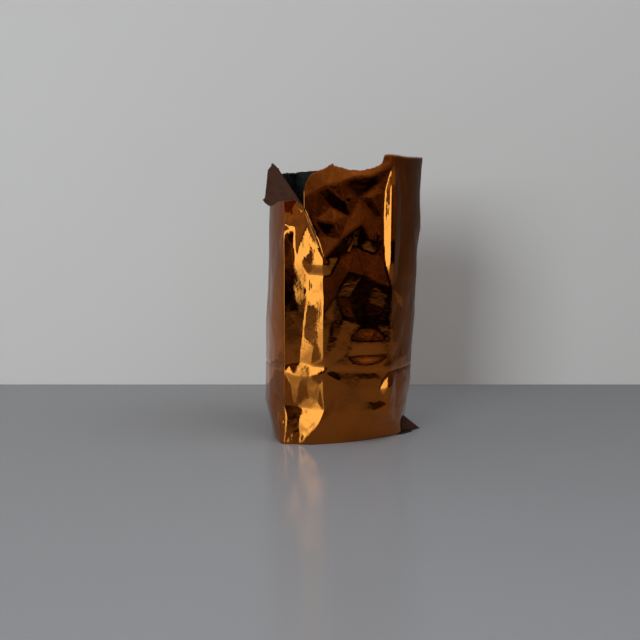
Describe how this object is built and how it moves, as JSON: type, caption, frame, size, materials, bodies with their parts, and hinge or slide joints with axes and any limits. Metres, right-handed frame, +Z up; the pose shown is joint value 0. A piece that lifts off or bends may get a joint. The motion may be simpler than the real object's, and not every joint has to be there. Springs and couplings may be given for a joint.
{
  "type": "metallised block-bottom bag",
  "caption": "Standing block-bottom gift or food bag of copper-coloured mirror film, with a black inner liner and a torn mouth whose front left corner is folded out on a hinge crease.",
  "frame": {"origin": "middle of the bag's overall box, on the plane that it stands on", "axes": "+X to the right across the front gusset, +Y from the front gusset to the back one, +Z up"},
  "size_m": [0.1342, 0.1262, 0.233],
  "materials": {
    "copper_film": "polished",
    "brown_inner_face": "matte",
    "black_film": "satin",
    "black_card": "matte",
    "dried_glue": "satin"
  },
  "bodies": {
    "root": {"front_gusset_left_upper": "copper_film", "front_gusset_left_lower": "copper_film", "front_gusset_torn_strip": "copper_film", "front_gusset_right_upper": "copper_film", "front_gusset_right_lower": "copper_film", "right_wall_upper": "copper_film", "right_wall_lower": "copper_film", "back_gusset_right_upper": "copper_film", "back_gusset_right_lower": "copper_film", "back_gusset_left_upper": "copper_film", "back_gusset_left_lower": "copper_film", "left_wall_upper": "copper_film", "left_wall_lower": "copper_film", "right_bottom_flap": "copper_film", "left_bottom_flap": "copper_film", "front_tuck": "copper_film", "back_tuck": "copper_film", "right_dog_ear": "copper_film", "tube_seam_tab": "copper_film", "seam_glue_line": "dried_glue", "bottom_glue_strip": "dried_glue", "base_card": "black_card", "liner_front_left": "black_film", "liner_front_right": "black_film", "liner_right": "black_film", "liner_back_right": "black_film", "liner_back_left": "black_film", "liner_left": "black_film", "liner_base": "black_film"},
    "corner_flap": {"torn_corner_flap": "brown_inner_face"}
  },
  "joints": [
    {"name": "corner_crease", "type": "hinge", "parent": "root", "child": "corner_flap", "pos_m": [-0.05187, -0.04365, 0.212], "axis": [-0.5066, 0.3511, 0.7875], "range_deg": [0, 130]}
  ]
}
